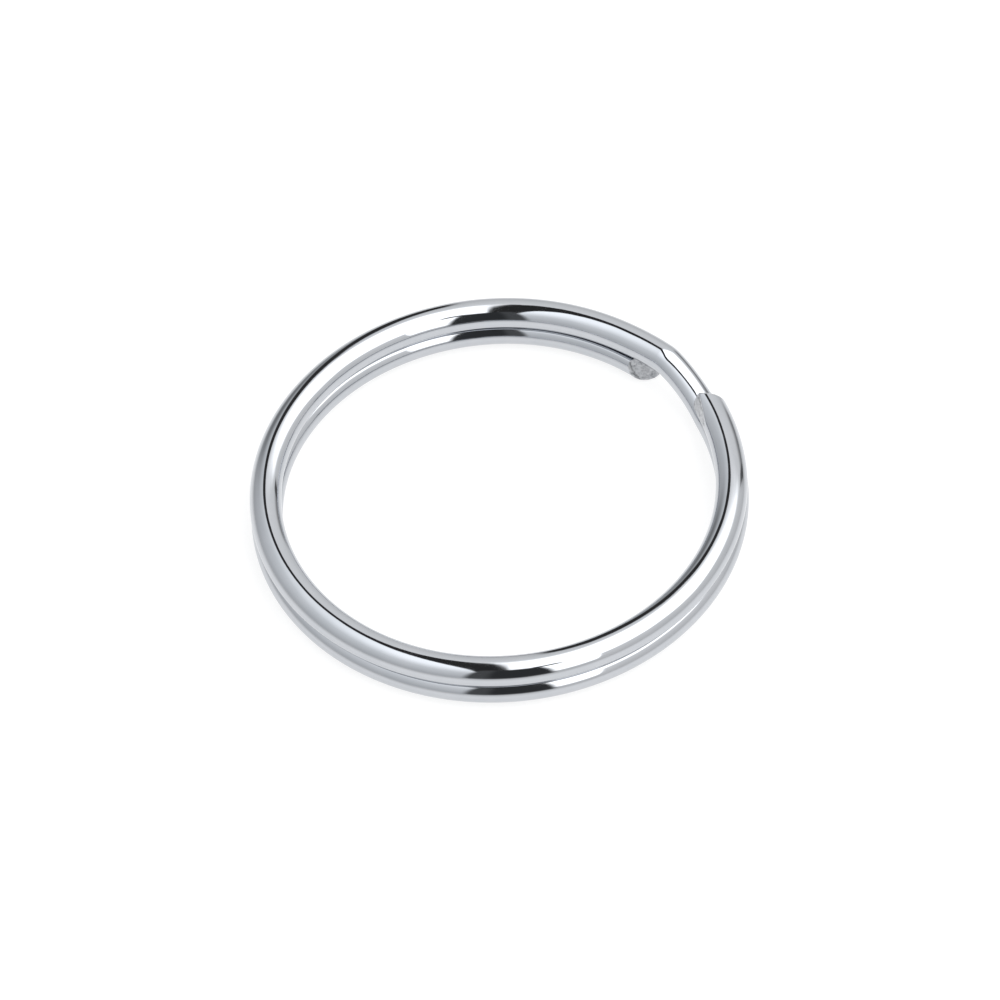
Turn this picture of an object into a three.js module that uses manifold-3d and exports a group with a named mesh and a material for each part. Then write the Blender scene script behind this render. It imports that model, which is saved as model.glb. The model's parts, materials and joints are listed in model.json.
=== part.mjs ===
// Split key ring: a single length of plated spring wire, wound into two turns that lie on each
// other, so that a key can be slid in at either free end and worked round onto the ring.
//
// Units are millimetres. +Z is up. The ring lies flat on z = 0 and its axis is the Z axis.
// The wire is followed by one number, the sweep: degrees travelled round the axis from the free
// end of the upper turn. It runs clockwise seen from above: round the upper turn, down the
// crossover step, and round the lower turn to the other free end. The wire is modelled as short
// stretches, because each free end springs away from the other turn by bending along half a turn.

import * as THREE from "three";
import { mergeVertices } from "three/addons/utils/BufferGeometryUtils.js";
import Module from "manifold-3d";

const wasm = await Module();
wasm.setup();

// The ring and the section of its wire: a round-sided wire with a broad flat where it meets the
// other turn, and a narrow flat on its crown.
const OUTER_DIAMETER = 30;
const WIRE_WIDTH = 1.92;
const ROUNDING_HEIGHT = 0.875; // half-height of the ellipse that the sides follow
const CROWN_DEPTH = 0.862; // from the section's centre to the flat on the crown
const FLAT_DEPTH = 0.735; // from the section's centre to the flat facing the other turn
const TURN_GAP = 0.04; // air between the two turns at rest

// Where the wire goes, as azimuths in degrees, anticlockwise from +X seen from above.
const UPPER_END_AZIMUTH = 22;
const LOWER_END_AZIMUTH = 46.5;
const STEP_TOP_AZIMUTH = 40.6; // the wire starts down from the upper level
const STEP_FOOT_AZIMUTH = 22.9; // the wire reaches the lower level
const STEP_CORNER = 1.3; // half-length of the bend at either end of the step, in degrees

// The set left in the wire by winding: it stands out and is drawn thinner at the step, and the
// lower free end lies a little inside the upper turn.
const BULGE = 0.18;
const BULGE_AZIMUTH = 35.6;
const BULGE_BEFORE = 11.2; // degrees over which it grows, coming from the upper turn
const BULGE_AFTER = 31; // degrees over which it fades, along the lower turn
const THINNING = 0.077; // share of the wire's width lost at its narrowest
const THINNING_AZIMUTH = 31;
const THINNING_REACH = 12.5;
const LOWER_END_INSET = 0.15;
const LOWER_END_INSET_REACH = 40;
const UPPER_END_OUTSET = 0.11; // the upper free end springs outwards by this much
const UPPER_END_OUTSET_REACH = 18;

// How the wire is divided into stretches.
const FLEX_SWEEP = 180; // the part of each turn that bends when its free end is lifted
const FLEX_STRETCHES = 8;
const FIXED_STRETCHES = 3; // in the half of each turn that stays put
const STRETCH_GAP = 0.06; // between neighbouring stretches, so that they can tilt

// How finely the solids are faceted.
const FACET_SWEEP = 4.5; // degrees of sweep for each ring of vertices
const STEP_FACET_SWEEP = 1.8; // the same, in the crossover
const SIDE_POINTS = 9; // points on each rounded side of the section

// The nipped corner at each free end: a slanted facet on the wire's inner side, by the flat.
// Length is along the wire, depth is how far it cuts in at the end face, and lean is its tilt
// towards the other turn, in degrees.
const UPPER_NIP = { length: 1.6, depth: 0.36, lean: 32 };
const LOWER_NIP = { length: 0.6, depth: 0.34, lean: 32 };
const CUTTER_SIZE = 4;

const DEGREE = Math.PI / 180;
const FULL_TURN = 360;
const COIL_RADIUS = (OUTER_DIAMETER - WIRE_WIDTH) / 2;
const LOWER_LEVEL = CROWN_DEPTH;
const UPPER_LEVEL = CROWN_DEPTH + 2 * FLAT_DEPTH + TURN_GAP;
const WIRE_SWEEP = 2 * FULL_TURN + UPPER_END_AZIMUTH - LOWER_END_AZIMUTH;
const FLEX_STEP = FLEX_SWEEP / FLEX_STRETCHES;
const STEP_START_SWEEP = UPPER_END_AZIMUTH + FULL_TURN - STEP_TOP_AZIMUTH - STEP_CORNER;
const STEP_END_SWEEP = UPPER_END_AZIMUTH + FULL_TURN - STEP_FOOT_AZIMUTH + STEP_CORNER;

// Bell curve: 1 at the middle, fading to nothing either side.
function bell(offset, reach) {
  return Math.exp(-((offset / reach) ** 2));
}

// Integral of a ramp that starts at 0 with a rounded corner of half-length `corner`.
function roundedStart(x, corner) {
  if (x <= -corner) return 0;
  if (x >= corner) return x;
  return (x + corner) ** 2 / (4 * corner);
}

// Share of the drop completed at a sweep, from 0 on the upper level to 1 on the lower one.
function dropShare(sweep) {
  const length = STEP_TOP_AZIMUTH - STEP_FOOT_AZIMUTH;
  const past = sweep - (STEP_START_SWEEP + STEP_CORNER);
  return (roundedStart(past, STEP_CORNER) - roundedStart(past - length, STEP_CORNER)) / length;
}

// How far the wire stands out of its circle, in millimetres.
function radialSet(sweep) {
  const fromBulge = sweep - (UPPER_END_AZIMUTH + FULL_TURN - BULGE_AZIMUTH);
  const bulge = BULGE * bell(fromBulge, fromBulge < 0 ? BULGE_BEFORE : BULGE_AFTER);
  const toLower = Math.max(0, 1 - (WIRE_SWEEP - sweep) / LOWER_END_INSET_REACH);
  const toUpper = Math.max(0, 1 - sweep / UPPER_END_OUTSET_REACH);
  return bulge - LOWER_END_INSET * toLower ** 1.5 + UPPER_END_OUTSET * toUpper ** 1.5;
}

// The wire at one sweep: where its section's centre is, and how deep the section goes.
function wireAt(sweep) {
  const drop = dropShare(sweep);
  const fromThinnest = sweep - (UPPER_END_AZIMUTH + FULL_TURN - THINNING_AZIMUTH);
  return {
    azimuth: (UPPER_END_AZIMUTH - sweep) * DEGREE,
    radius: COIL_RADIUS + radialSet(sweep),
    height: THREE.MathUtils.lerp(UPPER_LEVEL, LOWER_LEVEL, drop),
    halfWidth: (WIRE_WIDTH / 2) * (1 - THINNING * bell(fromThinnest, THINNING_REACH)),
    below: THREE.MathUtils.lerp(FLAT_DEPTH, CROWN_DEPTH, Math.min(1, 3 * drop)),
    above: THREE.MathUtils.lerp(FLAT_DEPTH, CROWN_DEPTH, Math.min(1, 3 - 3 * drop)),
  };
}

// Outline of the section as points (outward, up) about its centre: up the outer side, and down
// the inner one. The flats are the straight lines that close it.
function sectionOutline(wire) {
  const low = -Math.asin(wire.below / ROUNDING_HEIGHT);
  const high = Math.asin(wire.above / ROUNDING_HEIGHT);
  const outer = [];
  for (let i = 0; i < SIDE_POINTS; i += 1) {
    const angle = THREE.MathUtils.lerp(low, high, i / (SIDE_POINTS - 1));
    outer.push([wire.halfWidth * Math.cos(angle), ROUNDING_HEIGHT * Math.sin(angle)]);
  }
  const inner = outer.map(([outward, up]) => [-outward, up]).reverse();
  return [...outer, ...inner];
}

// The wire's skin from one sweep to another, closed at both ends: a ring of vertices at each
// step along it, joined by quadrilaterals, and a fan over each end.
function stretchGeometry(from, to, facetSweep) {
  const steps = Math.max(1, Math.round((to - from) / facetSweep));
  const positions = [];
  for (let i = 0; i <= steps; i += 1) {
    const wire = wireAt(THREE.MathUtils.lerp(from, to, i / steps));
    for (const [outward, up] of sectionOutline(wire)) {
      const radius = wire.radius + outward;
      positions.push(
        radius * Math.cos(wire.azimuth),
        radius * Math.sin(wire.azimuth),
        wire.height + up,
      );
    }
  }
  const around = 2 * SIDE_POINTS;
  const triangles = [];
  for (let i = 0; i < steps; i += 1) {
    for (let k = 0; k < around; k += 1) {
      const next = (k + 1) % around;
      const [a, b] = [i * around + k, i * around + next];
      const [c, d] = [a + around, b + around];
      triangles.push(a, b, c, b, d, c);
    }
  }
  const last = steps * around;
  for (let k = 1; k < around - 1; k += 1) {
    triangles.push(0, k + 1, k);
    triangles.push(last, last + k, last + k + 1);
  }
  return new THREE.BufferGeometry()
    .setAttribute("position", new THREE.Float32BufferAttribute(positions, 3))
    .setIndex(triangles);
}

function solidFrom(geometry) {
  const bare = geometry.clone();
  bare.deleteAttribute("normal");
  bare.deleteAttribute("uv");
  const merged = mergeVertices(bare);
  return new wasm.Manifold(
    new wasm.Mesh({
      numProp: 3,
      vertProperties: merged.attributes.position.array,
      triVerts: new Uint32Array(merged.index.array),
    }),
  );
}

function geometryFrom(solid) {
  const mesh = solid.getMesh();
  return new THREE.BufferGeometry()
    .setAttribute("position", new THREE.BufferAttribute(mesh.vertProperties, 3))
    .setIndex(new THREE.BufferAttribute(mesh.triVerts, 1));
}

// The block that cuts the nipped corner off a free end. `away` is 1 where the wire leaves the
// end towards greater sweeps, -1 where towards smaller ones; `flatSide` is -1 where the flat is
// underneath and 1 where it is on top.
function nipCutter(endSweep, away, flatSide, nip) {
  const start = wireAt(endSweep + (away * nip.length) / (COIL_RADIUS * DEGREE));
  const inward = new THREE.Vector3(-Math.cos(start.azimuth), -Math.sin(start.azimuth), 0);
  const alongSweep = new THREE.Vector3(Math.sin(start.azimuth), -Math.cos(start.azimuth), 0);
  const towardsEnd = alongSweep.multiplyScalar(-away);
  const yaw = Math.atan(nip.depth / nip.length);
  const lean = nip.lean * DEGREE;
  const outOfFacet = inward
    .clone()
    .multiplyScalar(Math.cos(lean))
    .add(new THREE.Vector3(0, 0, flatSide * Math.sin(lean)))
    .multiplyScalar(Math.cos(yaw))
    .add(towardsEnd.multiplyScalar(Math.sin(yaw)));
  // The facet starts on the wire's inner side, where that side faces the same way as the cut.
  const touching = Math.atan2(ROUNDING_HEIGHT * Math.sin(lean), start.halfWidth * Math.cos(lean));
  const radius = start.radius - start.halfWidth * Math.cos(touching);
  const facet = new THREE.Vector3(
    radius * Math.cos(start.azimuth),
    radius * Math.sin(start.azimuth),
    start.height + flatSide * ROUNDING_HEIGHT * Math.sin(touching),
  );
  const block = new THREE.BoxGeometry(CUTTER_SIZE, CUTTER_SIZE, CUTTER_SIZE);
  block.translate(0, 0, CUTTER_SIZE / 2);
  const turned = new THREE.Quaternion().setFromUnitVectors(
    new THREE.Vector3(0, 0, 1),
    outOfFacet.normalize(),
  );
  block.applyQuaternion(turned);
  block.translate(facet.x, facet.y, facet.z);
  return solidFrom(block);
}

// Bright nickel plate over spring steel.
function platedSteel() {
  return new THREE.MeshStandardMaterial({ color: 0xc9ced3, roughness: 0.12, metalness: 1 });
}

// A named stretch of the wire. `ends` says which of its ends are free ends of the wire; the
// others stop short, to leave the gap to the neighbouring stretch.
function stretch(name, from, to, { facetSweep = FACET_SWEEP, ends = [], cutter = null } = {}) {
  const halfGap = STRETCH_GAP / 2 / (COIL_RADIUS * DEGREE);
  const first = ends.includes("first") ? from : from + halfGap;
  const last = ends.includes("last") ? to : to - halfGap;
  const whole = solidFrom(stretchGeometry(first, last, facetSweep));
  const solid = cutter ? whole.subtract(cutter) : whole;
  const mesh = new THREE.Mesh(geometryFrom(solid), platedSteel());
  mesh.name = name;
  return mesh;
}

// The springing half of the upper turn, from its free end to the half that stays put.
// Stretches are numbered from the root outwards to the free end.
function upperFlexHalf() {
  const freeEnd = stretch("upper_turn_free_end", 0, FLEX_STEP, {
    ends: ["first"],
    cutter: nipCutter(0, 1, -1, UPPER_NIP),
  });
  const meshes = [freeEnd];
  for (let i = 1; i < FLEX_STRETCHES; i += 1) {
    const name = `upper_turn_flex_${FLEX_STRETCHES - i}`;
    meshes.push(stretch(name, i * FLEX_STEP, (i + 1) * FLEX_STEP));
  }
  return meshes;
}

// The same for the lower turn.
function lowerFlexHalf() {
  const root = WIRE_SWEEP - FLEX_SWEEP;
  const meshes = [];
  for (let i = 0; i < FLEX_STRETCHES - 1; i += 1) {
    const name = `lower_turn_flex_${i + 1}`;
    meshes.push(stretch(name, root + i * FLEX_STEP, root + (i + 1) * FLEX_STEP));
  }
  const freeEnd = stretch("lower_turn_free_end", WIRE_SWEEP - FLEX_STEP, WIRE_SWEEP, {
    ends: ["last"],
    cutter: nipCutter(WIRE_SWEEP, -1, 1, LOWER_NIP),
  });
  return [...meshes, freeEnd];
}

// The half of a turn that stays put, in equal stretches.
function fixedHalf(prefix, from, to) {
  const meshes = [];
  for (let i = 0; i < FIXED_STRETCHES; i += 1) {
    const start = THREE.MathUtils.lerp(from, to, i / FIXED_STRETCHES);
    const end = THREE.MathUtils.lerp(from, to, (i + 1) / FIXED_STRETCHES);
    meshes.push(stretch(`${prefix}_${i + 1}`, start, end));
  }
  return meshes;
}

const ring = new THREE.Group();
ring.add(
  ...upperFlexHalf(),
  ...fixedHalf("upper_turn_back", FLEX_SWEEP, STEP_START_SWEEP),
  stretch("crossover_step", STEP_START_SWEEP, STEP_END_SWEEP, { facetSweep: STEP_FACET_SWEEP }),
  ...fixedHalf("lower_turn_front", STEP_END_SWEEP, WIRE_SWEEP - FLEX_SWEEP),
  ...lowerFlexHalf(),
);

export default ring;
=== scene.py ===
import json
import math

import bpy
import numpy as np
from mathutils import Matrix, Vector, noise


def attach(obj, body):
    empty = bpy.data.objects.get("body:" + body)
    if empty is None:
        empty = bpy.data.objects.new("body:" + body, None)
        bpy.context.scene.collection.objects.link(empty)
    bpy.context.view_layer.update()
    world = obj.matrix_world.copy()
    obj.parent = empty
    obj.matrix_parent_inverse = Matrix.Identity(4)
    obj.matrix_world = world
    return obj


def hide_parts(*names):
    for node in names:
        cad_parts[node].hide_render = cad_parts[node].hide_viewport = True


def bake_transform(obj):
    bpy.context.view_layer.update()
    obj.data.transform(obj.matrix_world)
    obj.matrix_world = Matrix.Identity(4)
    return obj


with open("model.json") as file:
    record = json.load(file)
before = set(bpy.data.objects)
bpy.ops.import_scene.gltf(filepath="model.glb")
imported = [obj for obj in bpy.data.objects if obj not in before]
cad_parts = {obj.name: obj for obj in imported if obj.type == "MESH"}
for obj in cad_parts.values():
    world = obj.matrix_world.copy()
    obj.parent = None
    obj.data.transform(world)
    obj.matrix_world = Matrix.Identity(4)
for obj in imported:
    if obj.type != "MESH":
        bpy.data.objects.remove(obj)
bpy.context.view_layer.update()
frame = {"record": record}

# The looks of a split key ring: one plated spring wire in two turns. It is drawn as stretches of
# wire that meet without a visible seam, with fine detail that the CAD solids don't have:
# softened corners, and the rough sheared ends.
#
# Lengths here are in millimetres until they become vertices. As in the CAD, the wire is followed
# by its sweep: degrees travelled round the axis from the free end of the upper turn. Each end of a
# stretch has a side, UPPER or LOWER: the side of the free end that lies that way. At a free end it
# is also the way that the flat faces, down or up.

MM = 0.001
FULL_TURN = 360.0
HALF_TURN = FULL_TURN / 2
QUARTER_TURN = FULL_TURN / 4
UPPER = -1
LOWER = 1

# The wire, as in the CAD.
OUTER_DIAMETER = 30.0
WIRE_WIDTH = 1.92
CROWN_DEPTH = 0.862
FLAT_DEPTH = 0.735
TURN_GAP = 0.04
UPPER_END_AZIMUTH = 22.0
LOWER_END_AZIMUTH = 46.5
STEP_TOP_AZIMUTH = 40.6
STEP_FOOT_AZIMUTH = 22.9
STEP_CORNER = 1.3
BULGE = 0.18
BULGE_AZIMUTH = 35.6
BULGE_BEFORE = 11.2
BULGE_AFTER = 31.0
THINNING = 0.077
THINNING_AZIMUTH = 31.0
THINNING_REACH = 12.5
LOWER_END_INSET = 0.15
LOWER_END_INSET_REACH = 40.0
UPPER_END_OUTSET = 0.11
UPPER_END_OUTSET_REACH = 18.0
END_SET_POWER = 1.5
FLEX_SWEEP = 180.0
FLEX_STRETCHES = 8

HALF_WIDTH = WIRE_WIDTH / 2
COIL_RADIUS = OUTER_DIAMETER / 2 - HALF_WIDTH
MM_PER_DEGREE = math.radians(COIL_RADIUS)
LOWER_LEVEL = CROWN_DEPTH
UPPER_LEVEL = CROWN_DEPTH + 2 * FLAT_DEPTH + TURN_GAP
WIRE_SWEEP = 2 * FULL_TURN + UPPER_END_AZIMUTH - LOWER_END_AZIMUTH
FLEX_STEP = FLEX_SWEEP / FLEX_STRETCHES
HALF_STEP = FLEX_STEP / 2
UPPER_ROOT = FLEX_SWEEP
LOWER_ROOT = WIRE_SWEEP - FLEX_SWEEP
STEP_START_SWEEP = UPPER_END_AZIMUTH + FULL_TURN - STEP_TOP_AZIMUTH - STEP_CORNER
STEP_END_SWEEP = UPPER_END_AZIMUTH + FULL_TURN - STEP_FOOT_AZIMUTH + STEP_CORNER

# Detail of the wire that only the looks have.
FLAT_FILLET = 0.07  # how softly the rounded side turns into the flat that faces the other turn
FLAT_FADE = 3.0  # the flat gives way to a crown in the first third of the crossover's drop
CROWN_LIMIT = CROWN_DEPTH + FLAT_FILLET  # past the crown, so that the crown stays round
TWIST = 0.085  # how far the crown leans inwards, where the upper turn's springing half is rooted
TWIST_SWEEP = 182.0
TWIST_REACH = 32.0
LOWER_END_WEAR = 0.09  # ground off the flat at the lower free end, so that the gap shows there
LOWER_END_WEAR_REACH = 70.0

# How far past the CAD's end each slanted cut lies: at the wire's middle, and the change for each
# millimetre outwards and upwards.
UPPER_CUT = {"ahead": 0.50, "outwards": -0.68, "upwards": 0.0}
LOWER_CUT = {"ahead": -0.06, "outwards": 0.52, "upwards": -0.60}
SLANT_REACH = 10.0  # degrees over which the rows of vertices turn to lie along the slanted cut
UNDERCUT = 0.35  # rise of the underside for each millimetre past the CAD's upper end

# The corner nipped off the inner side of each free end: its length along the wire, its depth at
# the CAD's end, and how many degrees its facet leans towards the flat.
UPPER_NIP = {"length": 1.70, "depth": 0.20, "lean": -16.0}
LOWER_NIP = {"length": 0.25, "depth": 0.12, "lean": 32.0}
NIP_SOFTNESS = 0.03  # rounding of the facet's rim
NIP_TOLERANCE = 0.008  # faces of the wire this close to the facet are part of it
NIP_REACH = 13.0  # degrees of sweep from a free end, past which the wire is never nipped

# A free end's face: a rounded edge, and a torn surface.
SHARP_EDGE = 0.06  # rounding of the edge on the side of the flat
PULLED_EDGE = 0.10  # what is added to that on the side of the crown, where the shear went in
EDGE_REACH = 6.0  # degrees of sweep over which the rows of vertices make room for the edge
TEAR_SCALE = 5.0
TEAR_FRACTAL = (0.8, 2.1, 4)  # how fast its finer layers fade, how much finer each is, and how many
TEAR_DEPTH = 0.035
RIDGE_SCALE = Vector((3.0, 3.0, 7.0))
RIDGE_DEPTH = 0.05

# How closely the vertices lie.
ROW_SWEEP = 1.5  # degrees between rows of vertices
FINE_ROW_SWEEP = 0.75  # the same, in the crossover and at the free ends
FINE_STRETCHES = (
    (0.0, HALF_STEP),
    (STEP_START_SWEEP - 2 * ROW_SWEEP, STEP_END_SWEEP + 2 * ROW_SWEEP),
    (WIRE_SWEEP - HALF_STEP, WIRE_SWEEP),
)
BEFORE_CORNER = 8.0  # degrees round the section, before the flat's corner, that are finely divided
PAST_CORNER = 6.0  # the same, past the corner
SIDE_ANGLES = 12  # vertices in a quarter of the section: on its side, by the corner, on the flat
CORNER_ANGLES = 9
FLAT_ANGLES = 6
EDGE_ROWS = 5  # rows over the rounded edge of an end face
FACE_ROWS = 20  # rows from there to the middle of the end face
DIFFERENCE = 1e-3  # step for working out normals, in degrees and in radians


# ------------------------------------------------------------------------ the shape of the wire

def bell(offset, reach):
    return np.exp(-((offset / reach) ** 2))


def rounded_start(x, corner):
    """0 before 0 and x after it, with the corner between them rounded."""
    return np.where(x <= -corner, 0.0, np.where(x >= corner, x, (x + corner) ** 2 / (4 * corner)))


def soft_limit(value, limit, softness):
    """value, but no more than limit, turning from one to the other over softness."""
    near = np.maximum(softness - np.abs(value - limit), 0.0) / softness
    return np.minimum(value, limit) - near * near * softness / 4


def drop_share(sweep):
    """How much of the crossover's drop lies behind: 0 in the upper turn, 1 in the lower."""
    length = STEP_TOP_AZIMUTH - STEP_FOOT_AZIMUTH
    past = sweep - (STEP_START_SWEEP + STEP_CORNER)
    run = rounded_start(past, STEP_CORNER) - rounded_start(past - length, STEP_CORNER)
    return run / length


def radial_set(sweep):
    """How far outside the coil's circle the wire's middle runs."""
    from_bulge = sweep - (UPPER_END_AZIMUTH + FULL_TURN - BULGE_AZIMUTH)
    bulge = BULGE * bell(from_bulge, np.where(from_bulge < 0, BULGE_BEFORE, BULGE_AFTER))
    to_lower = np.clip(1 - (WIRE_SWEEP - sweep) / LOWER_END_INSET_REACH, 0.0, None)
    to_upper = np.clip(1 - sweep / UPPER_END_OUTSET_REACH, 0.0, None)
    return bulge - LOWER_END_INSET * to_lower**END_SET_POWER + UPPER_END_OUTSET * to_upper**END_SET_POWER


def section(sweep, angle, share=1.0):
    """Outward and upward offsets from the wire's middle, and the middle's own radius and height."""
    drop = drop_share(sweep)
    from_thinnest = sweep - (UPPER_END_AZIMUTH + FULL_TURN - THINNING_AZIMUTH)
    half_width = HALF_WIDTH * (1 - THINNING * bell(from_thinnest, THINNING_REACH))
    to_crown_below = np.minimum(1.0, FLAT_FADE * drop)
    to_crown_above = np.minimum(1.0, FLAT_FADE * (1 - drop))
    worn = LOWER_END_WEAR * np.clip(1 - (WIRE_SWEEP - sweep) / LOWER_END_WEAR_REACH, 0.0, 1.0)
    undercut = UNDERCUT * np.clip(-sweep, 0.0, None) * MM_PER_DEGREE
    below = FLAT_DEPTH + (CROWN_LIMIT - FLAT_DEPTH) * to_crown_below - undercut
    above = FLAT_DEPTH + (CROWN_LIMIT - FLAT_DEPTH) * to_crown_above - worn
    up = CROWN_DEPTH * np.sin(angle)
    up = soft_limit(up, above, FLAT_FILLET)
    up = -soft_limit(-up, below, FLAT_FILLET)
    lean = TWIST * bell(sweep - TWIST_SWEEP, TWIST_REACH) * np.sin(angle)
    out = half_width * np.cos(angle) - lean
    height = UPPER_LEVEL + (LOWER_LEVEL - UPPER_LEVEL) * drop
    return out * share, up * share, COIL_RADIUS + radial_set(sweep), height


def along_wire(sweep, side):
    """The wire's direction, towards the free end on that side."""
    azimuth = math.radians(UPPER_END_AZIMUTH - sweep)
    return np.array([math.sin(azimuth), -math.cos(azimuth), 0.0]) * side


def nip_plane(end_sweep, side, nip):
    """A point on the nipped corner's facet, and the direction it faces."""
    sweep = end_sweep - side * nip["length"] / MM_PER_DEGREE
    azimuth = math.radians(UPPER_END_AZIMUTH - sweep)
    outward = np.array([math.cos(azimuth), math.sin(azimuth), 0.0])
    upward = np.array([0.0, 0.0, 1.0])
    yaw = math.atan(nip["depth"] / nip["length"])
    lean = math.radians(nip["lean"])
    facing = upward * side * math.sin(lean) - outward * math.cos(lean)
    facing = facing * math.cos(yaw) + along_wire(sweep, side) * math.sin(yaw)
    _, _, radius, height = section(sweep, 0.0)
    touching = math.atan2(CROWN_DEPTH * math.sin(lean), HALF_WIDTH * math.cos(lean))
    point = outward * (radius - HALF_WIDTH * math.cos(touching))
    point = point + upward * (height + side * CROWN_DEPTH * math.sin(touching))
    return point, facing / np.linalg.norm(facing)


NIPS = {UPPER: nip_plane(0.0, UPPER, UPPER_NIP), LOWER: nip_plane(WIRE_SWEEP, LOWER, LOWER_NIP)}


def cut_place(cut, out, up):
    return cut["ahead"] + cut["outwards"] * out + cut["upwards"] * up


def slant(sweep, out, up):
    """How far the ends' slanted cuts move a point along the wire, in degrees of sweep."""
    near_upper = np.clip(1 - sweep / SLANT_REACH, 0.0, None)
    near_lower = np.clip(1 - (WIRE_SWEEP - sweep) / SLANT_REACH, 0.0, None)
    shift = near_lower * cut_place(LOWER_CUT, out, up) - near_upper * cut_place(UPPER_CUT, out, up)
    return shift / MM_PER_DEGREE


def wire_point(sweep, angle, share=1.0):
    """Points on the wire's skin, or inside it where share is below 1."""
    out, up, _, _ = section(sweep, angle, share)
    sweep = sweep + slant(sweep, out, up)
    out, up, radius, height = section(sweep, angle, share)
    azimuth = np.radians(UPPER_END_AZIMUTH - sweep)
    radius = radius + out
    points = np.stack([radius * np.cos(azimuth), radius * np.sin(azimuth), height + up], -1)
    near = {UPPER: sweep < NIP_REACH, LOWER: sweep > WIRE_SWEEP - NIP_REACH}
    for side, (point, facing) in NIPS.items():
        beyond = (points - point) @ facing
        kept = soft_limit(beyond, 0.0, NIP_SOFTNESS)
        points = points - np.where(near[side], beyond - kept, 0.0)[..., None] * facing
    return points


def wire_normal(sweep, angle):
    """The way that the skin faces at those points."""
    around = wire_point(sweep, angle + DIFFERENCE) - wire_point(sweep, angle - DIFFERENCE)
    along = wire_point(sweep + DIFFERENCE, angle) - wire_point(sweep - DIFFERENCE, angle)
    normal = np.cross(around, along)
    return normal / np.linalg.norm(normal, axis=-1, keepdims=True)


def straightened(sweep, angle, share=1.0):
    """Where the same points would lie if the wire were straight, which the materials follow."""
    out, up, _, _ = section(sweep, angle, share)
    return np.stack([sweep * MM_PER_DEGREE, out, up], -1)


# ------------------------------------------------------------------------ the mesh of a stretch

def section_angles():
    """Angles round the section, closer together where the flats begin."""
    corner = math.degrees(math.asin(FLAT_DEPTH / CROWN_DEPTH))
    quarter = np.concatenate([
        np.linspace(0.0, corner - BEFORE_CORNER, SIDE_ANGLES, endpoint=False),
        np.linspace(corner - BEFORE_CORNER, corner + PAST_CORNER, CORNER_ANGLES, endpoint=False),
        np.linspace(corner + PAST_CORNER, QUARTER_TURN, FLAT_ANGLES + 1),
    ])
    half = np.concatenate([quarter, HALF_TURN - quarter])
    full = np.concatenate([half, -half]) % FULL_TURN
    return np.radians(np.unique(np.round(full, 6)))


ANGLES = section_angles()
AROUND = len(ANGLES)


def row_sweeps(start, end):
    """Sweeps of the rows of vertices, closer together in the crossover and at the free ends."""
    fine = [
        (max(low, start), min(high, end))
        for low, high in FINE_STRETCHES
        if low < end and high > start
    ]
    marks = sorted({start, end, *(mark for stretch in fine for mark in stretch)})
    rows = [start]
    for low, high in zip(marks, marks[1:]):
        is_fine = any(first <= low and high <= last for first, last in fine)
        count = max(1, round((high - low) / (FINE_ROW_SWEEP if is_fine else ROW_SWEEP)))
        rows.extend(np.linspace(low, high, count + 1)[1:])
    return np.array(rows)


def edge_radius(side):
    """How rounded an end face's edge is: pulled over where the shear went in, and sharp opposite."""
    return SHARP_EDGE + PULLED_EDGE * (0.5 - 0.5 * side * np.sin(ANGLES)) ** 2


def torn(points):
    """How far the broken surface of a sheared end stands out at points of it."""
    heights = []
    for point in points:
        place = Vector(point)
        tear = noise.fractal(place * TEAR_SCALE, *TEAR_FRACTAL, noise_basis="PERLIN_ORIGINAL")
        ridge = abs(noise.noise(place * RIDGE_SCALE))
        heights.append(TEAR_DEPTH * tear - RIDGE_DEPTH * ridge)
    return np.array(heights)


def end_rings(side):
    """The rings of vertices of an end face, from its edge inwards: each one's share of the
    section, how far back from the end it lies, and how much of the torn surface it shows."""
    edge = edge_radius(side)
    edge_share = edge / HALF_WIDTH
    rings = []
    for i in range(1, EDGE_ROWS + 1):
        turn = i / EDGE_ROWS * math.pi / 2
        share = 1 - edge_share * (1 - math.cos(turn))
        rings.append((share, edge * (1 - math.sin(turn)), math.sin(turn) ** 2))
    for i in range(1, FACE_ROWS):
        rings.append(((1 - edge_share) * (1 - i / FACE_ROWS), 0.0, 1.0))
    return rings


def strip(ring, next_ring):
    """The four-sided faces between two rings of vertices."""
    return [
        (ring[k], ring[n], next_ring[n], next_ring[k])
        for k, n in zip(range(AROUND), [*range(1, AROUND), 0])
    ]


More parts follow.
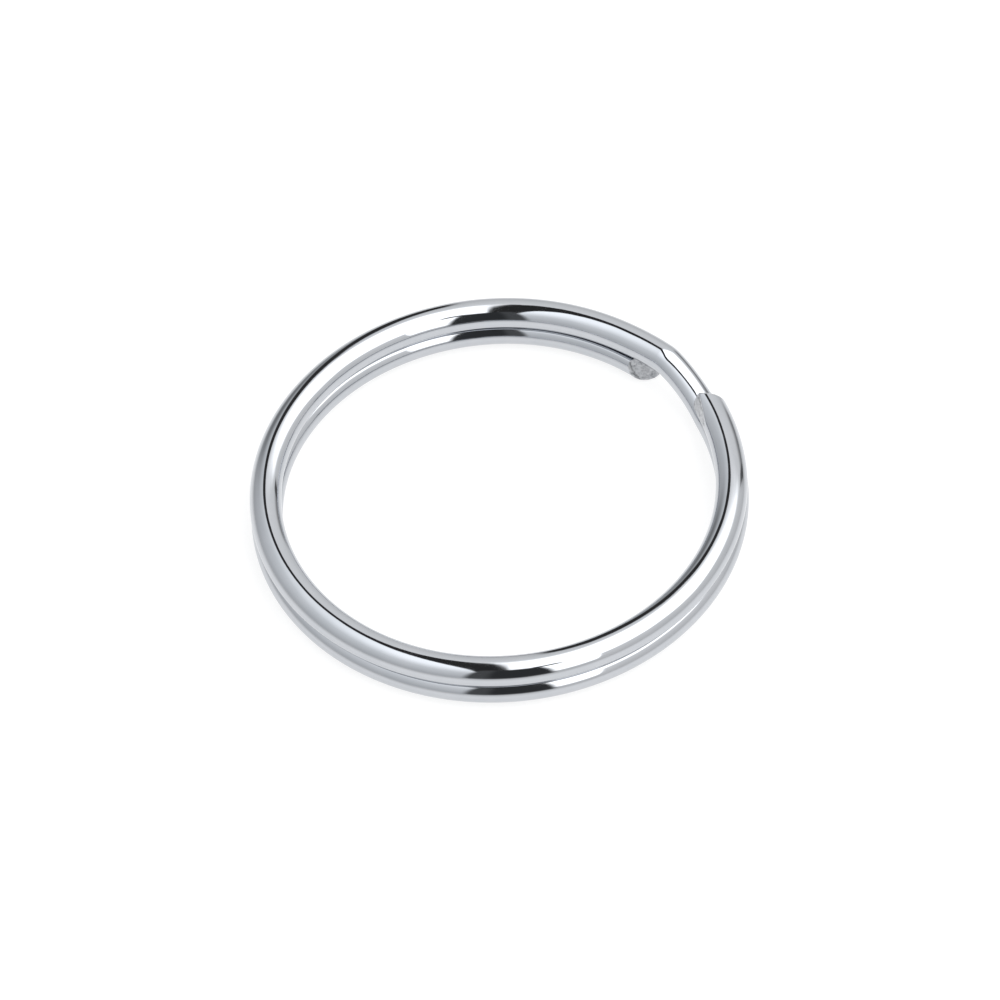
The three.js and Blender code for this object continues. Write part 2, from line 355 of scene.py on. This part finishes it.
class Skin:
    """The surface of a stretch of wire, while it is being made."""

    def __init__(self):
        self.points = []
        self.normals = []
        self.places = []  # where the points would lie on a straight wire
        self.faces = []
        self.materials = []
        self.corners = []  # the normals at each face's corners

    def add_points(self, points, normals, places):
        """Adds vertices, and gives back their numbers."""
        first = len(self.points)
        self.points.extend(points.reshape(-1, 3))
        self.normals.extend(normals.reshape(-1, 3))
        self.places.extend(places.reshape(-1, 3))
        return list(range(first, len(self.points)))

    def add_face(self, face, material):
        self.faces.append(face)
        self.materials.append(material)
        self.corners.append([self.normals[v] for v in face])

    def add_side(self, rows, side):
        """The wire's own surface. At a free end the last row stops short, by the edge's rounding,
        and the rows near it move along with it."""
        sweep = np.repeat(rows[:, None], AROUND, 1)
        angle = np.repeat(ANGLES[None, :], len(rows), 0)
        if side:
            end_sweep = rows[0] if side == UPPER else rows[-1]
            share = np.clip(1 - np.abs(rows - end_sweep) / EDGE_REACH, 0.0, 1.0)
            sweep = sweep - side * share[:, None] * edge_radius(side)[None, :] / MM_PER_DEGREE
        points = wire_point(sweep, angle)
        self.add_points(points, wire_normal(sweep, angle), straightened(sweep, angle))
        nipped = nipped_faces(points, rows, side)
        rings = [list(range(i * AROUND, (i + 1) * AROUND)) for i in range(len(rows))]
        for i in range(len(rows) - 1):
            for k, face in enumerate(strip(rings[i], rings[i + 1])):
                self.add_face(face, SHEARED if nipped[i, k] else PLATED)
        return rings[0], rings[-1]

    def close_seam(self, sweep, side, ring):
        """A flat face inside the wire, where the next stretch goes on."""
        self.add_face(ring[::side], PLATED)
        self.corners[-1] = [along_wire(sweep, side)] * AROUND

    def close_end(self, sweep, side, ring):
        """The sheared face of a free end."""
        first_face = len(self.faces)
        rim = set(ring)
        along = along_wire(sweep, side)
        for share, back, roughness in end_rings(side):
            at = np.full(AROUND, sweep) - side * back / MM_PER_DEGREE
            points = wire_point(at, ANGLES, share)
            points = points + (torn(points) * roughness)[:, None] * along
            next_ring = self.add_points(points, np.tile(along, AROUND), straightened(at, ANGLES, share))
            for face in strip(ring, next_ring):
                self.add_face(face[::side], SHEARED)
            ring = next_ring
        at, angle = np.array([sweep]), np.array([0.0])
        centre = wire_point(at, angle, 0.0)
        centre = centre + torn(centre)[:, None] * along
        middle = self.add_points(centre, along, straightened(at, angle, 0.0))
        # The last faces meet in that one vertex, so they have only three corners.
        for face in strip(ring, middle * AROUND):
            self.add_face(face[:3][::side], SHEARED)
        self.smooth_end(first_face, rim)

    def smooth_end(self, first_face, rim):
        """Gives the corners of an end face normals averaged over the faces round each vertex. On
        the rim, the wire's own normals stay."""
        sums = {}
        for face in self.faces[first_face:]:
            start, after, before = (self.points[v] for v in (face[0], face[1], face[-1]))
            facing = np.cross(after - start, before - start)
            for v in face:
                sums[v] = sums.get(v, 0.0) + facing
        smooth = {v: self.normals[v] if v in rim else sums[v] / np.linalg.norm(sums[v]) for v in sums}
        for i in range(first_face, len(self.faces)):
            self.corners[i] = [smooth[v] for v in self.faces[i]]

    def make_object(self, name):
        mesh = bpy.data.meshes.new(name)
        mesh.from_pydata([tuple(point * MM) for point in self.points], [], self.faces)
        mesh.polygons.foreach_set("use_smooth", [True] * len(self.faces))
        for material in MATERIALS:
            mesh.materials.append(material)
        mesh.polygons.foreach_set("material_index", self.materials)
        places = mesh.attributes.new("wire", "FLOAT_VECTOR", "POINT")
        places.data.foreach_set("vector", np.array(self.places, np.float32).ravel())
        mesh.normals_split_custom_set([tuple(normal) for corner in self.corners for normal in corner])
        piece = bpy.data.objects.new(name, mesh)
        bpy.context.scene.collection.objects.link(piece)
        return piece


def nipped_faces(points, rows, side):
    """Which faces between the rows of points lie on the nipped corner of the free end."""
    if not side:
        return np.zeros((len(rows) - 1, AROUND), bool)
    point, facing = NIPS[side]
    behind = (point - points) @ facing
    beside = np.roll(behind, -1, 1)
    deepest = np.maximum.reduce([behind[:-1], beside[:-1], beside[1:], behind[1:]])
    near_end = np.minimum(rows, WIRE_SWEEP - rows)[:-1] < NIP_REACH
    return (deepest < NIP_TOLERANCE) & near_end[:, None]


def build_piece(name, start, end):
    """A closed stretch of wire. A free end gets its sheared face; a seam is closed by a flat one."""
    free_side = UPPER if start == 0.0 else LOWER if end == WIRE_SWEEP else 0
    skin = Skin()
    first_ring, last_ring = skin.add_side(row_sweeps(start, end), free_side)
    for sweep, side, ring in ((start, UPPER, first_ring), (end, LOWER, last_ring)):
        if side == free_side:
            skin.close_end(sweep, side, ring)
        else:
            skin.close_seam(sweep, side, ring)
    return skin.make_object(name)


# -------------------------------------------------------------------------------- the materials

class Graph:
    """A node tree written as expressions: each method adds a node and gives back its output."""

    def __init__(self, tree):
        self.tree = tree
        tree.nodes.clear()

    def node(self, kind, inputs=None, output=0, **settings):
        node = self.tree.nodes.new(kind)
        for key, value in settings.items():
            setattr(node, key, value)
        for key, value in (inputs or {}).items():
            if isinstance(value, bpy.types.NodeSocket):
                self.tree.links.new(value, node.inputs[key])
            else:
                node.inputs[key].default_value = value
        return node.outputs[output]

    def finish(self, kind, shader):
        output = self.tree.nodes.new(kind)
        self.tree.links.new(shader, output.inputs["Surface"])

    def math(self, operation, a, b=0.0, c=0.0):
        return self.node("ShaderNodeMath", {0: a, 1: b, 2: c}, operation=operation)

    def remap(self, value, low, high, to_low=0.0, to_high=1.0, interpolation="LINEAR"):
        inputs = {"Value": value, "From Min": low, "From Max": high, "To Min": to_low, "To Max": to_high}
        return self.node("ShaderNodeMapRange", inputs, interpolation_type=interpolation)

    def rise(self, value, low, high):
        """0 below low, 1 above high, and smooth between. With high below low, it falls instead."""
        if high < low:
            return self.math("SUBTRACT", 1.0, self.rise(value, high, low))
        return self.remap(value, low, high, interpolation="SMOOTHSTEP")

    def band(self, value, low, high, softness):
        """1 between low and high, and 0 outside them."""
        start = self.rise(value, low - softness, low + softness)
        stop = self.rise(value, high + softness, high - softness)
        return self.math("MULTIPLY", start, stop)

    def all_of(self, *masks):
        """1 where every mask is 1."""
        result = masks[0]
        for mask in masks[1:]:
            result = self.math("MULTIPLY", result, mask)
        return result

    def ramp(self, value, stops):
        output = self.node("ShaderNodeValToRGB", {"Fac": value})
        elements = output.node.color_ramp.elements
        while len(elements) < len(stops):
            elements.new(1.0)
        for element, (position, colour) in zip(elements, stops):
            element.position = position
            element.color = (*colour, 1.0)
        return output

    def line(self, value, points):
        """A line through points, each a value and what it becomes, both from -180 to 180."""
        share = self.math("MULTIPLY_ADD", value, 1 / FULL_TURN, 0.5)
        stops = [(start / FULL_TURN + 0.5, (end / FULL_TURN + 0.5,) * 3) for start, end in points]
        return self.math("MULTIPLY_ADD", self.ramp(share, stops), FULL_TURN, -HALF_TURN)

    def mix(self, factor, a, b):
        inputs = {"Factor": factor, 6: a, 7: b}
        return self.node("ShaderNodeMix", inputs, 2, data_type="RGBA")

    def dimmed(self, light, mask, share):
        """light, with that share of it taken away where mask is 1."""
        return self.mix(mask, light, self.mix(share, light, grey(0.0)))

    def noise(self, place, scale, detail, roughness=0.5):
        inputs = {"Vector": place, "Scale": scale, "Detail": detail, "Roughness": roughness}
        return self.node("ShaderNodeTexNoise", inputs)

    def drawn_out(self, place, share):
        """place, with the pattern that is made on it drawn out along the wire."""
        return self.node("ShaderNodeMapping", {"Vector": place, "Scale": (share, 1.0, 1.0)})


def grey(value, blue=0.0):
    return (value * (1 - blue), value, value * (1 + blue), 1.0)


def new_material(name):
    """A material, its nodes, and the attribute that says where on the straight wire a point is."""
    material = bpy.data.materials.new(name)
    material.use_nodes = True
    g = Graph(material.node_tree)
    wire = g.node("ShaderNodeAttribute", output=1, attribute_name="wire")
    return material, g, wire


def metal(g, colour, roughness, bump):
    shader = g.node("ShaderNodeBsdfPrincipled", {
        "Base Color": colour, "Metallic": 1.0, "Roughness": roughness, "Normal": bump})
    g.finish("ShaderNodeOutputMaterial", shader)


def plated_wire():
    """Bright nickel plate: a slow unevenness, faint drawing marks along the wire, and light wear."""
    material, g, wire = new_material("plated_wire")
    drawn_out = g.drawn_out(wire, 0.12)
    marks = g.noise(drawn_out, scale=9.0, detail=3.0, roughness=0.6)
    waves = g.noise(g.drawn_out(wire, 0.35), scale=1.1, detail=1.0)
    clouds = g.noise(wire, scale=0.55, detail=3.0, roughness=0.6)
    worn = g.rise(g.noise(drawn_out, scale=22.0, detail=4.0, roughness=0.75), 0.62, 0.74)
    colour = g.ramp(clouds, [(0.30, (0.525, 0.545, 0.575)), (0.70, (0.555, 0.57, 0.60))])
    roughness = g.math("MULTIPLY_ADD", worn, 0.05, g.remap(clouds, 0.3, 0.7, 0.035, 0.07))
    height = g.math("MULTIPLY_ADD", waves, 6.0, g.math("MULTIPLY", marks, 0.25))
    bump = g.node("ShaderNodeBump", {"Strength": 0.35, "Distance": 0.004 * MM, "Height": height})
    metal(g, colour, roughness, bump)
    return material


def sheared_end():
    """Torn steel, with a dark crooked line where the cutter's bite ends and the tearing starts."""
    material, g, wire = new_material("sheared_end")
    specks = g.noise(wire, scale=14.0, detail=4.0, roughness=0.65)
    colour = g.ramp(g.noise(wire, scale=4.5, detail=4.0, roughness=0.7), [
        (0.30, (0.26, 0.27, 0.29)),
        (0.46, (0.52, 0.53, 0.55)),
        (0.68, (0.70, 0.71, 0.73)),
    ])
    across = g.node("ShaderNodeSeparateXYZ", {"Vector": wire}, 1)
    crooked = g.math("MULTIPLY_ADD", g.noise(wire, scale=2.2, detail=3.0, roughness=0.6), 0.5, across)
    colour = g.mix(g.band(crooked, -0.49, -0.44, 0.06), colour, grey(0.10, 0.05))
    roughness = g.remap(specks, 0.3, 0.7, 0.28, 0.55)
    fine = g.noise(wire, scale=24.0, detail=3.0, roughness=0.7)
    height = g.math("MULTIPLY_ADD", fine, 0.5, specks)
    bump = g.node("ShaderNodeBump", {"Strength": 0.8, "Distance": 0.03 * MM, "Height": height})
    metal(g, colour, roughness, bump)
    return material


MATERIALS = [plated_wire(), sheared_end()]
PLATED, SHEARED = 0, 1


# ---------------------------------------------------------------------------------- the pieces


def build_half(turn, root_sweep, direction):
    """The springing half of a turn, from its root out to its free end."""
    names = [f"{turn}_turn_flex_{i}" for i in range(1, FLEX_STRETCHES)] + [f"{turn}_turn_free_end"]
    for i, name in enumerate(names):
        hinge = root_sweep + direction * i * FLEX_STEP
        near = hinge - direction * HALF_STEP
        far = hinge + direction * HALF_STEP
        outer = hinge + direction * FLEX_STEP if name == names[-1] else far
        piece = build_piece(f"{turn}_wire_{i + 1}", *sorted((near, outer)))
        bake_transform(piece)
        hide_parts(name)


def build_fixed_wire():
    """The rest of the wire, which is one rigid body: both fixed halves, and the crossover."""
    root = build_piece("fixed_wire", UPPER_ROOT + HALF_STEP, LOWER_ROOT - HALF_STEP)
    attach(root, "ring_core")
    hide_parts(*frame["record"]["behaviour"]["bodies"]["ring_core"])


build_half("upper", UPPER_ROOT, UPPER)
build_half("lower", LOWER_ROOT, LOWER)
build_fixed_wire()


# ------------------------------------------------------------------------- floor, light, camera

FLOOR_SIZE = 6.0  # metres, as are the camera's distance and clipping
TENT_STRENGTH = 2.2  # what every colour in the tent is multiplied by

ELEVATION = math.radians(50.1)
ROLL = -0.075
DISTANCE = 0.7015
LENS = 419.4
SENSOR_WIDTH = 36.0
SHIFT_X = 0.00094
SHIFT_Y = -0.00222
CLIP_START = 0.01
CLIP_END = 20.0


def make_floor():
    """A white table, which glows so that it stays white. The glow fades towards the horizon."""
    mesh = bpy.data.meshes.new("floor")
    far = FLOOR_SIZE / 2
    corners = [(-far, -far, 0.0), (far, -far, 0.0), (far, far, 0.0), (-far, far, 0.0)]
    mesh.from_pydata(corners, [], [(0, 1, 2, 3)])
    floor = bpy.data.objects.new("floor", mesh)
    bpy.context.scene.collection.objects.link(floor)
    material = bpy.data.materials.new("floor")
    material.use_nodes = True
    g = Graph(material.node_tree)
    facing = g.node("ShaderNodeLayerWeight", {"Blend": 0.5}, 1)
    glow = g.ramp(facing, [(0.60, (1.0,) * 3), (0.80, (0.80,) * 3), (0.95, (0.47,) * 3)])
    shader = g.node("ShaderNodeBsdfPrincipled", {
        "Base Color": grey(0.30), "Roughness": 0.9, "Specular IOR Level": 0.0,
        "Emission Color": glow, "Emission Strength": 0.78})
    g.finish("ShaderNodeOutputMaterial", shader)
    mesh.materials.append(material)


def panel(g, lat, blue, levels):
    """A wall of the tent: how bright it is at each height, in degrees above the horizon."""
    stops = []
    for height, level in levels:
        colour = tuple(value / TENT_STRENGTH for value in grey(level, blue)[:3])
        stops.append((height / QUARTER_TURN, colour))
    return g.ramp(g.math("DIVIDE", lat, QUARTER_TURN), stops)


def softbox(g, light, x, lon, lat):
    """The softbox overhead, on the right. Its lower edge rises towards the back, softer there too."""
    edge = g.line(lon, [
        (0, 62), (20, 58), (35, 52), (43, 44), (50, 38), (75, 36), (95, 34), (110, 39), (141, 41),
        (146.5, 14)])
    softness = g.line(lon, [(35, 13), (60, 10), (80, 6), (110, 5)])
    above_edge = g.math("DIVIDE", g.math("SUBTRACT", lat, edge), softness)
    box = g.all_of(g.rise(above_edge, -1.0, 0.2), g.rise(x, -0.035, -0.01))
    return g.mix(box, light, grey(1.05))


def dim_patches(g, light, lon, lat):
    """Dim patches at the back, and a stand at the end of one."""
    wide = g.all_of(g.band(lon, -52.0, -8.0, 22.0), g.rise(lat, 58.0, 25.0))
    light = g.dimmed(light, wide, 0.22)
    low = g.all_of(g.band(lon, -36.0, -16.0, 9.0), g.band(lat, 4.0, 27.0, 11.0))
    light = g.dimmed(light, low, 0.55)
    right = g.all_of(g.band(lon, 36.0, 55.0, 3.0), g.rise(lat, 26.0, 6.0))
    light = g.dimmed(light, right, 0.62)
    stand = g.all_of(g.band(lon, 49.5, 54.0, 0.8), g.rise(lat, 24.0, 19.0))
    return g.mix(stand, light, grey(0.06))


def gap(g, light, x, z, lon, lat):
    """The dark gap between the panels: over the top, and down the back."""
    over = g.all_of(g.band(x, -0.175, -0.012, 0.010), g.rise(z, 0.78, 0.84))
    light = g.mix(over, light, grey(0.015))
    left_edge = g.line(lat, [(-8, -6), (3, -11), (17, -14.5), (27, -17), (40, -19), (50, -20), (60, -20)])
    right_edge = g.line(lat, [(24, -2.6), (38, -7), (43, -5.5), (50, -2.0), (60, -1.5)])
    after = g.rise(g.math("SUBTRACT", lon, left_edge), -1.5, 1.5)
    before = g.rise(g.math("SUBTRACT", right_edge, lon), -0.8, 0.8)
    down = g.all_of(after, before, g.rise(lat, -6.0, 2.0), g.rise(lat, 64.0, 56.0))
    return g.mix(down, light, grey(0.018))


def lens_opening(g, light, lon, lat):
    """The opening for the lens, a little lighter along one side, and its hood."""
    turned = g.math("MODULO", g.math("ADD", lon, FULL_TURN), FULL_TURN)
    across = g.band(turned, 163.8, 198.3, 2.0)
    opening = g.all_of(across, g.rise(lat, 71.0, 63.0), g.rise(lat, -10.0, 10.0))
    inside = g.mix(g.rise(turned, 187.0, 192.0), grey(0.02, 0.05), grey(0.045, 0.03))
    light = g.mix(opening, light, inside)
    hood = g.all_of(g.band(turned, 150.0, 167.0, 2.0), g.band(lat, 62.0, 69.0, 2.0))
    return g.mix(hood, light, grey(0.02, 0.05))


def make_light_tent():
    """The studio that the wire mirrors. Its parts lie at directions seen from the ring, in degrees:
    lon, clockwise from the back, and lat, above the horizon."""
    world = bpy.data.worlds.new("light_tent")
    world.use_nodes = True
    g = Graph(world.node_tree)
    direction = g.node("ShaderNodeTexCoord")
    x, y, z = g.node("ShaderNodeSeparateXYZ", {"Vector": direction}).node.outputs
    lon = g.math("DEGREES", g.math("ARCTAN2", x, y))
    lat = g.math("DEGREES", g.math("ARCSINE", z))
    left = panel(g, lat, 0.02, [
        (0, 0.66), (12, 0.69), (21, 0.77), (33, 0.86), (45, 0.97), (57, 1.26), (69, 1.60), (85, 1.8)])
    right = panel(g, lat, 0.0, [(0, 0.80), (12, 0.84), (27, 0.95), (40, 1.0), (90, 1.1)])
    light = g.mix(g.rise(x, -0.12, 0.0), left, right)
    light = softbox(g, light, x, lon, lat)
    light = dim_patches(g, light, lon, lat)
    light = gap(g, light, x, z, lon, lat)
    light = lens_opening(g, light, lon, lat)
    shader = g.node("ShaderNodeBackground", {"Color": light, "Strength": TENT_STRENGTH})
    g.finish("ShaderNodeOutputWorld", shader)
    return world


def make_camera():
    """A long lens, looking down at the plane between the two turns."""
    camera = bpy.data.objects.new("camera", bpy.data.cameras.new("camera"))
    camera.data.lens = LENS
    camera.data.sensor_width = SENSOR_WIDTH
    camera.data.shift_x = SHIFT_X
    camera.data.shift_y = SHIFT_Y
    camera.data.clip_start = CLIP_START
    camera.data.clip_end = CLIP_END
    target = Vector((0.0, 0.0, (LOWER_LEVEL + FLAT_DEPTH + TURN_GAP / 2) * MM))
    away = Vector((0.0, -math.cos(ELEVATION), math.sin(ELEVATION)))
    turn = (-away).to_track_quat("-Z", "Y").to_matrix().to_4x4() @ Matrix.Rotation(ROLL, 4, "Z")
    camera.matrix_world = Matrix.Translation(target + away * DISTANCE) @ turn
    bpy.context.scene.collection.objects.link(camera)
    return camera


make_floor()
scene = bpy.context.scene
scene.view_settings.view_transform = "Standard"
scene.world = make_light_tent()
scene.camera = make_camera()
